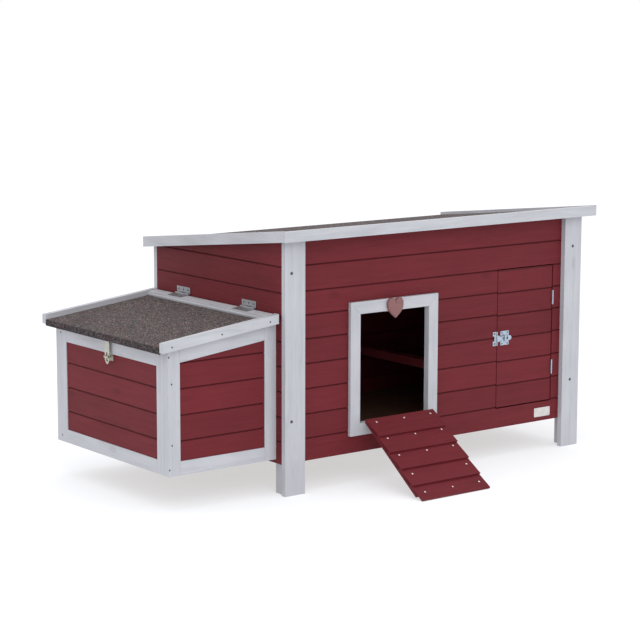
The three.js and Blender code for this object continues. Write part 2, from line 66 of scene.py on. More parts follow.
def lin(r, g, b):
    f = lambda c: (c / 255 / 12.92) if c / 255 <= 0.04045 else ((c / 255 + 0.055) / 1.055) ** 2.4
    return (f(r), f(g), f(b), 1)

def node(t, kind, **kw):
    n = t.nodes.new(kind)
    for k, v in kw.items():
        if k in n.inputs:
            n.inputs[k].default_value = v
        else:
            setattr(n, k, v)
    return n

def math_node(t, op, a, b=None):
    n = t.nodes.new("ShaderNodeMath"); n.operation = op
    for i, v in enumerate((a, b)):
        if v is None: continue
        if isinstance(v, (int, float)): n.inputs[i].default_value = v
        else: t.links.new(v, n.inputs[i])
    return n.outputs[0]

def ramp(t, fac, stops):
    n = t.nodes.new("ShaderNodeValToRGB")
    e = n.color_ramp.elements
    while len(e) < len(stops): e.new(0.5)
    for i, (p, c) in enumerate(stops):
        e[i].position = p; e[i].color = c
    t.links.new(fac, n.inputs[0])
    return n.outputs[0]

def mix(t, fac, a, b, mode="MIX"):
    n = t.nodes.new("ShaderNodeMix"); n.data_type = "RGBA"; n.blend_type = mode
    for key, v in ((0, fac), (6, a), (7, b)):
        if isinstance(v, (int, float)): n.inputs[key].default_value = v
        elif isinstance(v, tuple): n.inputs[key].default_value = v
        else: t.links.new(v, n.inputs[key])
    return n.outputs[2]

def scaled(c, k):
    return (min(c[0] * k, 1), min(c[1] * k, 1), min(c[2] * k, 1), 1)

SEAMS = (0.1526, 0.2224, 0.2941, 0.3651, 0.4349, 0.5023, 0.5697, 0.6423)
DOOR_SEAMS = tuple(round(s - 0.003, 4) for s in SEAMS)
NEST_SEAMS = (0.1936, 0.2643, 0.3365, 0.4066)
END_SEAMS = (0.1936, 0.2643, 0.3355)
_woods = {}
def wood(kind, axis, boards=()):
    """Painted or bare planed softwood. axis is the grain's direction; boards varies the tone board by board and paints
    shade along the seams.
    """
    key = (kind, axis, boards)
    if key in _woods: return _woods[key]
    base, dark, light, rough, bumpk, grain = {
        "red": (lin(103, 31, 38), lin(80, 20, 26), lin(118, 42, 50), 0.62, 0.45, 0.5),
        "white": (lin(183, 184, 190), lin(158, 160, 167), lin(196, 196, 202), 0.56, 0.32, 0.75),
        # perch: a lighter copy of the red paint, painted light for the perch in the dim inside
        "perch": (lin(158, 66, 72), lin(134, 50, 56), lin(176, 86, 90), 0.6, 0.4, 0.5),
        "rose": (lin(132, 92, 92), lin(110, 74, 73), lin(148, 108, 106), 0.55, 0.3, 0.5),
        "bare": (lin(96, 66, 50), lin(66, 42, 30), lin(124, 92, 72), 0.78, 0.5, 1.0),
    }[kind]
    m, t, b = nt(f"{kind}_wood_{axis}" + (f"_boards_{int(boards[-1] * 10000)}" if boards else ""))
    tc = t.nodes.new("ShaderNodeTexCoord")
    long, across = 2.2, 26.0
    s = {"x": (long, across, across), "y": (across, long, across), "z": (across, across, long)}[axis]
    # each board's own piece of grain
    sep = t.nodes.new("ShaderNodeSeparateXYZ"); t.links.new(tc.outputs["Object"], sep.inputs[0])
    src = tc.outputs["Object"]
    idx = None
    if boards:
        for sm in boards:
            g = math_node(t, "GREATER_THAN", sep.outputs[2], sm)
            idx = g if idx is None else math_node(t, "ADD", idx, g)
        wn = t.nodes.new("ShaderNodeTexWhiteNoise"); wn.noise_dimensions = "1D"
        t.links.new(math_node(t, "ADD", idx, 3.7), wn.inputs["W"])
        off = t.nodes.new("ShaderNodeVectorMath"); off.operation = "SCALE"
        t.links.new(wn.outputs["Color"], off.inputs[0]); off.inputs["Scale"].default_value = 9.0
        add = t.nodes.new("ShaderNodeVectorMath"); add.operation = "ADD"
        t.links.new(src, add.inputs[0]); t.links.new(off.outputs[0], add.inputs[1])
        src = add.outputs[0]
    mp = t.nodes.new("ShaderNodeMapping"); mp.inputs["Scale"].default_value = s
    t.links.new(src, mp.inputs[0])
    # broad figure, wandering a little, and fine fibres
    n1 = node(t, "ShaderNodeTexNoise", Scale=3.0, Detail=5.0, Roughness=0.6, Distortion=0.5); t.links.new(mp.outputs[0], n1.inputs["Vector"])
    mp2 = t.nodes.new("ShaderNodeMapping"); mp2.inputs["Scale"].default_value = tuple(v * (1.0 if v < 5 else 5.5) for v in s)
    t.links.new(src, mp2.inputs[0])
    n2 = node(t, "ShaderNodeTexNoise", Scale=4.0, Detail=6.0, Roughness=0.7, Distortion=0.2); t.links.new(mp2.outputs[0], n2.inputs["Vector"])
    n3 = node(t, "ShaderNodeTexNoise", Scale=7.0, Detail=3.0, Roughness=0.5); t.links.new(tc.outputs["Object"], n3.inputs["Vector"])
    # knots: rare, drawn out along the grain
    mpk = t.nodes.new("ShaderNodeMapping"); mpk.inputs["Scale"].default_value = tuple(4.0 if v < 5 else 9.0 for v in s)
    t.links.new(src, mpk.inputs[0])
    vk = node(t, "ShaderNodeTexVoronoi", Scale=1.0); t.links.new(mpk.outputs[0], vk.inputs["Vector"])
    knot = ramp(t, vk.outputs["Distance"], [(0.0, (1, 1, 1, 1)), (0.07, (0.75, 0.75, 0.75, 1)), (0.12, (0, 0, 0, 1))])
    k = grain
    c1 = ramp(t, n1.outputs["Fac"], [(0.28, tuple(base[i] + (dark[i] - base[i]) * 0.55 * k for i in range(3)) + (1,)), (0.5, base), (0.75, tuple(base[i] + (light[i] - base[i]) * 0.5 * k for i in range(3)) + (1,))])
    fib = ramp(t, n2.outputs["Fac"], [(0.25, (0.86, 0.86, 0.86, 1)), (0.5, (1, 1, 1, 1)), (0.78, (1.12, 1.12, 1.12, 1))])
    c2 = mix(t, 0.75 * k, c1, fib, "MULTIPLY")
    blotch = ramp(t, n3.outputs["Fac"], [(0.3, (0.93, 0.93, 0.93, 1)), (0.7, (1.06, 1.06, 1.06, 1))])
    c3 = mix(t, 0.8, c2, blotch, "MULTIPLY")
    c4 = mix(t, math_node(t, "MULTIPLY", knot, 0.35 if kind != "bare" else 0.8), c3, scaled(dark, 0.7))
    if boards:
        tone = ramp(t, wn.outputs["Value"], [(0.0, (0.92, 0.92, 0.92, 1)), (1.0, (1.07, 1.07, 1.07, 1))])
        c4 = mix(t, 1.0, c4, tone, "MULTIPLY")
        # painted shade down in the V joints: the colour darkens close to each seam
        near = None
        for sm in boards:
            d = math_node(t, "ABSOLUTE", math_node(t, "SUBTRACT", sep.outputs[2], sm))
            near = d if near is None else math_node(t, "MINIMUM", near, d)
        seam_painted_shade = ramp(t, math_node(t, "MULTIPLY", near, 100.0), [(0.06, (0.52, 0.48, 0.48, 1)), (0.2, (0.72, 0.69, 0.69, 1)), (0.34, (1, 1, 1, 1))])
        c4 = mix(t, 1.0, c4, seam_painted_shade, "MULTIPLY")
    t.links.new(c4, b.inputs["Base Color"])
    r = ramp(t, n2.outputs["Fac"], [(0.2, (rough + 0.14,) * 3 + (1,)), (0.8, (rough - 0.1,) * 3 + (1,))])
    t.links.new(r, b.inputs["Roughness"])
    h = math_node(t, "ADD", math_node(t, "MULTIPLY", n2.outputs["Fac"], 0.7), math_node(t, "MULTIPLY", n1.outputs["Fac"], 0.5))
    h = math_node(t, "SUBTRACT", h, math_node(t, "MULTIPLY", knot, 0.15))
    bp = node(t, "ShaderNodeBump", Strength=bumpk, Distance=0.0012); t.links.new(h, bp.inputs["Height"])
    t.links.new(bp.outputs[0], b.inputs["Normal"])
    b.inputs["Specular IOR Level"].default_value = 0.2 if kind == "red" else 0.35
    _woods[key] = m
    return m

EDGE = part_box("lid_felt")[0].x
def felt_material():
    m, t, b = nt("mineral_felt")
    tc = t.nodes.new("ShaderNodeTexCoord")
    geo = t.nodes.new("ShaderNodeSeparateXYZ"); t.links.new(tc.outputs["Object"], geo.inputs[0])
    v = node(t, "ShaderNodeTexVoronoi", Scale=340.0); t.links.new(tc.outputs["Object"], v.inputs["Vector"])
    v2 = node(t, "ShaderNodeTexVoronoi", Scale=150.0); t.links.new(tc.outputs["Object"], v2.inputs["Vector"])
    sp = t.nodes.new("ShaderNodeSeparateColor"); t.links.new(v.outputs["Color"], sp.inputs[0])
    sp2 = t.nodes.new("ShaderNodeSeparateColor"); t.links.new(v2.outputs["Color"], sp2.inputs[0])
    col = ramp(t, sp.outputs[0], [(0.0, lin(46, 42, 42)), (0.14, lin(72, 66, 66)), (0.34, lin(90, 84, 84)), (0.5, lin(112, 76, 84)), (0.62, lin(78, 88, 80)), (0.74, lin(94, 88, 88)), (0.86, lin(116, 108, 108)), (0.96, lin(142, 134, 132))])
    col.node.color_ramp.interpolation = "CONSTANT"
    col2 = ramp(t, sp2.outputs[1], [(0.0, (0.7, 0.68, 0.69, 1)), (0.3, (0.95, 0.95, 0.95, 1)), (0.65, (1.12, 1.0, 1.04, 1)), (1.0, (1.0, 1.1, 1.04, 1))])
    c = mix(t, 0.85, col, col2, "MULTIPLY")
    n = node(t, "ShaderNodeTexNoise", Scale=14.0, Detail=5.0, Roughness=0.6); t.links.new(tc.outputs["Object"], n.inputs["Vector"])
    big = ramp(t, n.outputs["Fac"], [(0.3, (0.9, 0.9, 0.9, 1)), (0.7, (1.06, 1.06, 1.06, 1))])
    c = mix(t, 1.0, c, big, "MULTIPLY")
    # the turned-down front edge is made darker
    xe = ramp(t, math_node(t, "MULTIPLY", math_node(t, "SUBTRACT", geo.outputs[0], EDGE), 10.0), [(0.02, (0.58, 0.58, 0.6, 1)), (0.075, (1, 1, 1, 1))])
    c = mix(t, 1.0, c, xe, "MULTIPLY")
    t.links.new(c, b.inputs["Base Color"])
    b.inputs["Roughness"].default_value = 0.93
    b.inputs["Specular IOR Level"].default_value = 0.2
    h = math_node(t, "SUBTRACT", 1.0, v.outputs["Distance"])
    h2 = math_node(t, "SUBTRACT", 1.0, v2.outputs["Distance"])
    bp = node(t, "ShaderNodeBump", Strength=0.85, Distance=0.0018)
    t.links.new(math_node(t, "ADD", h, math_node(t, "MULTIPLY", h2, 0.6)), bp.inputs["Height"])
    t.links.new(bp.outputs[0], b.inputs["Normal"])
    return m

def metal(name, col, rough, scratch=0.12):
    m, t, b = nt(name)
    tc = t.nodes.new("ShaderNodeTexCoord")
    v = node(t, "ShaderNodeTexVoronoi", Scale=190.0); t.links.new(tc.outputs["Object"], v.inputs["Vector"])
    sp = t.nodes.new("ShaderNodeSeparateColor"); t.links.new(v.outputs["Color"], sp.inputs[0])
    n = node(t, "ShaderNodeTexNoise", Scale=420.0, Detail=4.0); t.links.new(tc.outputs["Object"], n.inputs["Vector"])
    c = ramp(t, sp.outputs[0], [(0.0, scaled(col, 0.9)), (1.0, scaled(col, 1.08))])
    t.links.new(c, b.inputs["Base Color"])
    b.inputs["Metallic"].default_value = 0.92
    r = ramp(t, n.outputs["Fac"], [(0.3, (rough,) * 3 + (1,)), (0.7, (rough + scratch,) * 3 + (1,))])
    t.links.new(r, b.inputs["Roughness"])
    bp = node(t, "ShaderNodeBump", Strength=0.1, Distance=0.0002); t.links.new(n.outputs["Fac"], bp.inputs["Height"])
    t.links.new(bp.outputs[0], b.inputs["Normal"])
    return m

FELT = felt_material()
ZINC = metal("bright_zinc", lin(178, 190, 204), 0.36)
SCREW = metal("screw_steel", lin(96, 98, 106), 0.42)
NAIL = metal("nail_steel", lin(232, 222, 226), 0.4); NAIL.node_tree.nodes["Principled BSDF"].inputs["Metallic"].default_value = 0.35
GZINC = metal("dull_zinc", lin(166, 168, 172), 0.42)
YZINC = metal("pale_yellow_zinc", lin(182, 182, 168), 0.38)
DARK = metal("recess_dark", lin(60, 60, 64), 0.55)

def label_material():
    m, t, b = nt("blank_label")
    tc = t.nodes.new("ShaderNodeTexCoord")
    n = node(t, "ShaderNodeTexNoise", Scale=60.0, Detail=4.0); t.links.new(tc.outputs["Object"], n.inputs["Vector"])
    c = ramp(t, n.outputs["Fac"], [(0.3, lin(196, 192, 190)), (0.7, lin(210, 207, 205))])
    t.links.new(c, b.inputs["Base Color"])
    b.inputs["Roughness"].default_value = 0.4
    return m
LABEL = label_material()

# ------------------------------------------------------------------ helpers
def setmat(o, m):
    o.data.materials.clear(); o.data.materials.append(m)
    for p in o.data.polygons: p.material_index = 0

def bevel(o, w, seg=2, angle=28):
    b = o.modifiers.new("edge", "BEVEL"); b.width = w / 1000; b.segments = seg
    b.limit_method = "ANGLE"; b.angle_limit = math.radians(angle); b.use_clamp_overlap = True
    b.miter_outer = "MITER_ARC"
    return b

def smooth(o, angle=35):
    me = o.data
    me.shade_smooth() if hasattr(me, "shade_smooth") else None
    try: me.set_sharp_from_angle(angle=math.radians(angle))
    except Exception: pass

def obj(name, bm, body, m):
    me = bpy.data.meshes.new(name); bm.to_mesh(me); bm.free()
    o = bpy.data.objects.new(name, me); bpy.context.scene.collection.objects.link(o)
    setmat(o, m)
    if body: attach(o, body)
    return o

def poly(name, pts, plane, lo, hi, body, m, bev=0.0, seg=2, twist=None):
    """A closed outline in mm in the design frame, extruded from lo to hi."""
    bm = bmesh.new()
    f = {"xz": lambda a, b, c: D(a, c, b), "yz": lambda a, b, c: D(c, a, b), "xy": lambda a, b, c: D(a, b, c)}[plane]
    lows = [bm.verts.new(f(a, b, lo)) for a, b in pts]
    highs = [bm.verts.new(f(a, b, hi)) for a, b in pts]
    bm.faces.new(lows); bm.faces.new(highs[::-1])
    n = len(pts)
    for i in range(n):
        bm.faces.new((lows[i], highs[i], highs[(i + 1) % n], lows[(i + 1) % n]))
    bmesh.ops.recalc_face_normals(bm, faces=bm.faces)
    o = obj(name, bm, body, m)
    if bev: bevel(o, bev, seg)
    return o

def plate(name, loops, thick, origin, right, up, body, m, bev=0.3, res=3):
    """A pressed plate: outlines in mm about origin (mm, design frame), thick mm along the outward normal right x up."""
    cu = bpy.data.curves.new(name, "CURVE"); cu.dimensions = "2D"; cu.fill_mode = "BOTH"
    for l in loops:
        s = cu.splines.new("POLY"); s.points.add(len(l) - 1); s.use_cyclic_u = True
        for p, (a, b) in zip(s.points, l): p.co = (a / 1000, b / 1000, 0, 1)
    cu.extrude = (thick / 2 - bev) / 1000; cu.bevel_depth = bev / 1000; cu.bevel_resolution = res; cu.offset = -bev / 1000
    tmp = bpy.data.objects.new(name + "_c", cu); bpy.context.scene.collection.objects.link(tmp)
    bpy.context.view_layer.update()
    me = bpy.data.meshes.new_from_object(tmp.evaluated_get(bpy.context.evaluated_depsgraph_get()))
    bpy.data.objects.remove(tmp)
    me.name = name
    r, u = Vector(right).normalized(), Vector(up).normalized(); nrm = r.cross(u)
    o3 = D(*origin) + nrm * (thick / 2000)
    M = Matrix(((r.x, u.x, nrm.x, o3.x), (r.y, u.y, nrm.y, o3.y), (r.z, u.z, nrm.z, o3.z), (0, 0, 0, 1)))
    me.transform(M)
    bm = bmesh.new(); bm.from_mesh(me)
    bmesh.ops.remove_doubles(bm, verts=bm.verts, dist=1e-6)
    bmesh.ops.recalc_face_normals(bm, faces=bm.faces)
    bm.to_mesh(me); bm.free()
    o = bpy.data.objects.new(name, me); bpy.context.scene.collection.objects.link(o)
    setmat(o, m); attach(o, body); smooth(o, 40)
    return o

def arc(cx, cy, r, a0, a1, n=8):
    return [(cx + r * math.cos(math.radians(a0 + (a1 - a0) * i / n)), cy + r * math.sin(math.radians(a0 + (a1 - a0) * i / n))) for i in range(n + 1)]

def rrect(x0, x1, y0, y1, r, n=5):
    return arc(x1 - r, y1 - r, r, 0, 90, n) + arc(x0 + r, y1 - r, r, 90, 180, n) + arc(x0 + r, y0 + r, r, 180, 270, n) + arc(x1 - r, y0 + r, r, 270, 360, n)

def lathe(name, prof, origin, axis, body, m, seg=24):
    """A turned piece: prof is [(radius, height)] in mm along axis from origin."""
    a = Vector(axis).normalized(); side = a.orthogonal().normalized(); oth = a.cross(side)
    bm = bmesh.new(); o0 = D(*origin); rings = []
    for r, h in prof:
        if r < 1e-6: rings.append([bm.verts.new(o0 + a * h / 1000)])
        else: rings.append([bm.verts.new(o0 + a * h / 1000 + (side * math.cos(2 * math.pi * k / seg) + oth * math.sin(2 * math.pi * k / seg)) * r / 1000) for k in range(seg)])
    for A, B in zip(rings, rings[1:]):
        for k in range(seg):
            k2 = (k + 1) % seg
            if len(A) == 1: bm.faces.new((A[0], B[k], B[k2]))
            elif len(B) == 1: bm.faces.new((A[k], B[0], A[k2]))
            else: bm.faces.new((A[k], B[k], B[k2], A[k2]))
    bmesh.ops.recalc_face_normals(bm, faces=bm.faces)
    o = obj(name, bm, body, m); smooth(o, 50)
    return o

_n = [0]
def screw(x, y, z, normal, body, m=None, r=3.4, dome=0.9, tilt=0.4):
    """A countersunk cross-head screw: domed head with the cross cut into it."""
    _n[0] += 1
    m = m or SCREW
    a = Vector(normal).normalized(); side = a.orthogonal().normalized(); oth = a.cross(side)
    ca, sa = math.cos(tilt), math.sin(tilt)
    s1 = side * ca + oth * sa; s2 = oth * ca - side * sa
    bm = bmesh.new(); o0 = D(x, y, z) / 1
    w, L, dep = r * 0.15, r * 0.55, 0.5
    cross = [(w, w), (w, L), (-w, L), (-w, w), (-L, w), (-L, -w), (-w, -w), (-w, -L), (w, -L), (w, -w), (L, -w), (L, w)]
    P = lambda u, v, h: o0 + (s1 * u + s2 * v + a * h) / 1000
    seg = 24
    hh = lambda rr: dome * (1 - (rr / r) ** 2) * 0.8 + 0.15
    inner = [bm.verts.new(P(u, v, hh(math.hypot(u, v)))) for u, v in cross]
    floor_ = [bm.verts.new(P(u, v, hh(0) - dep)) for u, v in cross]
    n = len(cross)
    for i in range(n): bm.faces.new((inner[i], inner[(i + 1) % n], floor_[(i + 1) % n], floor_[i]))
    bm.faces.new(floor_)
    angs = [math.atan2(v, u) for u, v in cross]
    mid = [bm.verts.new(P(r * 0.72 * math.cos(t_), r * 0.72 * math.sin(t_), hh(r * 0.72))) for t_ in angs]
    for i in range(n): bm.faces.new((inner[i], mid[i], mid[(i + 1) % n], inner[(i + 1) % n]))
    out = [bm.verts.new(P(r * math.cos(t_), r * math.sin(t_), 0.12)) for t_ in angs]
    for i in range(n): bm.faces.new((mid[i], out[i], out[(i + 1) % n], mid[(i + 1) % n]))
    low = [bm.verts.new(P(r * math.cos(t_), r * math.sin(t_), -0.25)) for t_ in angs]
    for i in range(n): bm.faces.new((out[i], low[i], low[(i + 1) % n], out[(i + 1) % n]))
    bm.faces.new(low[::-1])
    bmesh.ops.recalc_face_normals(bm, faces=bm.faces)
    return obj(f"screw_{_n[0]:02d}", bm, body, m)

def nail(p, normal, body, r=2.7):
    _n[0] += 1
    bm = bmesh.new()
    a = Vector(normal).normalized(); side = a.orthogonal().normalized(); oth = a.cross(side)
    prof = [(r, -0.3), (r, 0.15), (r * 0.85, 0.42), (r * 0.5, 0.62), (0, 0.7)]
    seg = 16; rings = []
    for rr, h in prof:
        if rr == 0: rings.append([bm.verts.new(p + a * h / 1000)])
        else: rings.append([bm.verts.new(p + (a * h + side * rr * math.cos(2 * math.pi * k / seg) + oth * rr * math.sin(2 * math.pi * k / seg)) / 1000) for k in range(seg)])
    for A, B in zip(rings, rings[1:]):
        for k in range(seg):
            k2 = (k + 1) % seg
            bm.faces.new((A[k], B[0], A[k2]) if len(B) == 1 else (A[k], B[k], B[k2], A[k2]))
    bm.faces.new(rings[0][::-1])
    bmesh.ops.recalc_face_normals(bm, faces=bm.faces)
    o = obj(f"nail_{_n[0]:02d}", bm, body, NAIL); smooth(o, 60)
    return o

# ------------------------------------------------------------------ CAD nodes that stay
for n in ("front_left_post", "front_right_post", "back_left_post", "back_right_post", "front_left_leg", "front_right_leg"):
    setmat(N[n], wood("white", "z")); bevel(N[n], 1.4, 3)
for n in ("front_wall_boards", "back_wall_boards"):
    setmat(N[n], wood("red", "x", SEAMS)); bevel(N[n], 0.7, 2, 20)
for n in ("left_wall_boards", "right_wall_boards"):
    setmat(N[n], wood("red", "y", SEAMS)); bevel(N[n], 0.7, 2, 20)
setmat(N["access_door_boards"], wood("red", "x", DOOR_SEAMS)); bevel(N["access_door_boards"], 0.9, 2, 20)
for n in ("nest_near_boards", "nest_far_boards"):
    setmat(N[n], wood("red", "x", NEST_SEAMS)); bevel(N[n], 0.5, 2, 20)
setmat(N["nest_end_boards"], wood("red", "y", END_SEAMS)); bevel(N["nest_end_boards"], 0.5, 2, 20)
for i in range(1, 6):
    setmat(N[f"ramp_slat_{i}"], wood("red", "x")); bevel(N[f"ramp_slat_{i}"], 1.3, 3)
for n in ("ramp_batten_left", "ramp_batten_right"):
    setmat(N[n], wood("red", "y")); bevel(N[n], 1.0, 2)
setmat(N["roof_fascia_front"], wood("white", "x")); bevel(N["roof_fascia_front"], 1.2, 3)
for n in ("roof_fascia_left", "roof_fascia_right"):
    setmat(N[n], wood("white", "y")); bevel(N[n], 1.2, 3)
for n in ("lid_trim_near", "lid_trim_far"):
    setmat(N[n], wood("white", "x")); bevel(N[n], 1.4, 3)
setmat(N["lid_hinge_rail"], wood("white", "y")); bevel(N["lid_hinge_rail"], 1.4, 3)
setmat(N["roof_felt"], FELT); bevel(N["roof_felt"], 1.2, 3)
setmat(N["lid_felt"], FELT); bevel(N["lid_felt"], 1.2, 3)
for n, ax in (("floor_panel", "x"), ("roof_deck", "x"), ("nest_floor", "y"), ("nest_divider", "x"), ("access_door_brace", "x"), ("lid_deck", "y")):
    setmat(N[n], wood("bare", ax)); bevel(N[n], 0.8, 2)
# the perch's lighter red is painted light, making up for the dim inside
setmat(N["perch"], wood("perch", "y")); bevel(N["perch"], 1.5, 3)
setmat(N["ramp_stop_block"], wood("rose", "x")); bevel(N["ramp_stop_block"], 1.0, 2)
for n in N:
    if "hinge" in n and n.endswith("leaf") or n in ("door_hasp_leaf", "door_turn_plate", "ramp_hinge_frame_leaf", "ramp_hinge_ramp_leaf"):
        setmat(N[n], GZINC if "lid_hinge" in n else ZINC); bevel(N[n], 0.25, 2, 35); smooth(N[n], 40)
for n in ("nest_hasp_leaf", "nest_turn_plate"):
    setmat(N[n], YZINC); bevel(N[n], 0.25, 2, 35); smooth(N[n], 40)

# ------------------------------------------------------------------ framed members, piece by piece
def member_frame(prefix, node_, plane, outer, inner, lo, hi, mitre, body="coop"):
    """Four rails round an opening. outer and inner are corner lists: bottom left, bottom right, top right, top left."""
    o, i = outer, inner
    g = 0.06
    made = []
    if mitre:
        sets = {"bottom": [o[0], o[1], i[1], i[0]], "right": [o[1], o[2], i[2], i[1]], "top": [o[2], o[3], i[3], i[2]], "left": [o[3], o[0], i[0], i[3]]}
    else:
        def at(a, b, x): k = (x - a[0]) / (b[0] - a[0]); return (x, a[1] + (b[1] - a[1]) * k)
        sets = {"left": [o[0], at(o[0], o[1], i[0][0]), at(o[3], o[2], i[3][0]), o[3]],
                "right": [at(o[0], o[1], i[1][0]), o[1], o[2], at(o[3], o[2], i[2][0])],
                "bottom": [at(o[0], o[1], i[0][0]), at(o[0], o[1], i[1][0]), i[1], i[0]],
                "top": [i[3], i[2], at(o[3], o[2], i[2][0]), at(o[3], o[2], i[3][0])]}
    for nm, pts in sets.items():
        cx = sum(p[0] for p in pts) / 4; cy = sum(p[1] for p in pts) / 4
        q = [(cx + (a - cx) * (1 - g / max(abs(a - cx), 1)), cy + (b - cy) * (1 - g / max(abs(b - cy), 1))) for a, b in pts]
        up = nm in ("left", "right")
        grain = "z" if up else ("x" if plane == "xz" else "y")
        made.append(poly(f"{prefix}_{nm}", q, plane, lo, hi, body, wood("white", grain), 0.8, 3))
    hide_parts(node_)
    return made

def dbox(n):
    a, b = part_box(n)
    return [(a.x - O.x) * 1000, (b.x - O.x) * 1000, (a.y - O.y) * 1000, (b.y - O.y) * 1000, a.z * 1000, b.z * 1000]

px0, px1, py0, py1, pz0, pz1 = dbox("pop_frame")
W = 35.3
member_frame("pop_rail", "pop_frame", "xz", [(px0, pz0), (px1, pz0), (px1, pz1), (px0, pz1)],
             [(px0 + W, pz0 + W), (px1 - W, pz0 + W), (px1 - W, pz1 - W), (px0 + W, pz1 - W)], py0, py1, True)

def vert_corners(n, plane):
    """Top corner heights of a sloping-topped frame, from the node's own points."""
    vs = [v.co for v in N[n].data.vertices]
    k = 0 if plane == "xz" else 1
    lo = min(v[k] for v in vs); hi = max(v[k] for v in vs)
    zl = max(v.z for v in vs if abs(v[k] - lo) < 1e-4) * 1000; zh = max(v.z for v in vs if abs(v[k] - hi) < 1e-4) * 1000
    base = O.x if k == 0 else O.y
    return (lo - base) * 1000, (hi - base) * 1000, zl, zh, min(v.z for v in vs) * 1000

for nm in ("near", "far"):
    n_ = f"nest_{nm}_frame"; b_ = dbox(n_); x0, x1, zl, zh, zb = vert_corners(n_, "xz")
    bb = dbox(f"nest_{nm}_boards")
    ix0, ix1, iz0 = bb[0] - 0.3, bb[1] + 0.3, bb[4] - 0.3
    s_ = (zh - zl) / (x1 - x0)
    zt0 = zl + s_ * (ix0 - x0) - 39; zt1 = zl + s_ * (ix1 - x0) - 39
    member_frame(f"nest_{nm}_rail", n_, "xz", [(x0, zb), (x1, zb), (x1, zh), (x0, zl)], [(ix0, iz0), (ix1, iz0), (ix1, zt1), (ix0, zt0)], b_[2], b_[3], False)
b_ = dbox("nest_end_frame"); bb = dbox("nest_end_boards")
member_frame("nest_end_rail", "nest_end_frame", "yz", [(b_[2], b_[4]), (b_[3], b_[4]), (b_[3], b_[5]), (b_[2], b_[5])],
             [(bb[2] - 0.3, bb[4] - 0.3), (bb[3] + 0.3, bb[4] - 0.3), (bb[3] + 0.3, bb[5] + 0.3), (bb[2] - 0.3, bb[5] + 0.3)], b_[0], b_[1], False)

# ------------------------------------------------------------------ heart-shaped catch, rounded over
def bez(p0, p1, p2, p3, n=12):
    out = []
    for i in range(n):
        t = i / n
        out.append(tuple((1 - t) ** 3 * p0[k] + 3 * (1 - t) ** 2 * t * p1[k] + 3 * (1 - t) * t * t * p2[k] + t ** 3 * p3[k] for k in (0, 1)))
    return out
H = (bez((0, -32.8), (-11, -24), (-29, -12), (-29, 7)) + bez((-29, 7), (-29, 20), (-21, 26.3), (-14, 26.3)) + bez((-14, 26.3), (-7, 26.3), (-2, 22), (0, 16))
     + bez((0, 16), (2, 22), (7, 26.3), (14, 26.3)) + bez((14, 26.3), (21, 26.3), (29, 20), (29, 7)) + bez((29, 7), (29, -12), (11, -24), (0, -32.8)))
hb = dbox("heart_catch")
heart = plate("heart_catch_body", [H], hb[3] - hb[2] - 0.5, (392, hb[3], 500.5), (1, 0, 0), (0, 0, 1), "heart_catch", wood("rose", "z"), 2.6, 5)
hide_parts("heart_catch")
Hi = [(a * 0.8, (b + 1.2) * 0.8 - 1.2) for a, b in H]
plate("heart_catch_face", [Hi], 1.1, (392, hb[2] + 1.1, 500.5), (1, 0, 0), (0, 0, 1), "heart_catch", wood("rose", "x"), 0.5, 3)
screw(392, hb[2], 513, (0, -1, 0), "heart_catch", r=2.2, dome=0.3)

# ------------------------------------------------------------------ door hasp
HB = dbox("door_hasp_leaf"); hx, hz = 799.5, 363.0
strap_b = dbox("door_hasp_strap")
leaf = [(784, 342), (797, 342), (797, 384.5), (784, 384.5), (784, 371.5), (788.5, 371.5), (790.5, 369.5), (790.5, 357.5), (788.5, 355.5), (784, 355.5)]
pl = plate("door_hasp_wall_plate", [[(a - hx, b - hz) for a, b in leaf]], 1.4, (hx, HB[3], hz), (1, 0, 0), (0, 0, 1), "coop", ZINC, 0.35)
def barrel(name, x, y, z0, z1, r, body, m=ZINC, axis=(0, 0, 1), origin=None):
    L = z1 - z0
    return lathe(name, [(0, 0), (r - 0.35, 0), (r, 0.35), (r, L - 0.35), (r - 0.35, L), (0, L)], origin or (x, y, z0), axis, body, m, 28)
barrel("door_hasp_knuckle_low", hx, HB[3] - 2.0, 342, 351.7, 2.0, "coop")
barrel("door_hasp_knuckle_high", hx, HB[3] - 2.0, 374.3, 384.5, 2.0, "coop")
lg = poly("door_hasp_web", [(796, 342.3), (799.3, 342.3), (799.3, 351.5), (796, 351.5)], "xz", HB[3] - 1.4, HB[3] - 0.1, "coop", ZINC, 0.2)
lg2 = poly("door_hasp_web_high", [(796, 374.5), (799.3, 374.5), (799.3, 384.2), (796, 384.2)], "xz", HB[3] - 1.4, HB[3] - 0.1, "coop", ZINC, 0.2)
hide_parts("door_hasp_leaf")
sy = HB[3] - 4.0
strap = [(1.0, -10), (4, -10), (9.5, -7.5), (14, -4.6), (17.5, -4.6), (20, -7.2)] + [(48.5, -7.2)] + arc(48.9, 0, 7.1, -80, 80, 8) + [(48.5, 7.2), (20, 7.2), (17.5, 4.6), (14, 4.6), (9.5, 7.5), (4, 10), (1.0, 10)]
slot_ = rrect(20.5, 42.5, -4.3, 4.3, 2.5)[::-1]
st = plate("door_hasp_strap_plate", [strap, slot_], 1.4, (hx, sy, hz), (1, 0, 0), (0, 0, 1), "door_hasp", ZINC, 0.35)
barrel("door_hasp_strap_knuckle", hx, HB[3] - 2.0, 352, 374, 2.0, "door_hasp")
poly("door_hasp_strap_root", [(hx + 0.6, 353.4), (hx + 2.6, 353.4), (hx + 2.6, 372.6), (hx + 0.6, 372.6)], "xz", sy - 1.2, HB[3] - 2.2, "door_hasp", ZINC, 0.25)
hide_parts("door_hasp_strap")
tp = dbox("door_turn_plate")
plq = plate("door_turn_base", [rrect(-15.5, 18.5, -21.5, 21.5, 2.2)], 1.2, (830, HB[3], hz), (1, 0, 0), (0, 0, 1), "access_door", ZINC, 0.3)
lathe("door_turn_spigot", [(0, 0), (3.0, 0), (3.0, 4.2), (2.7, 4.5), (0, 4.5)], (830, HB[3] - 1.0, hz), (0, -1, 0), "access_door", ZINC)
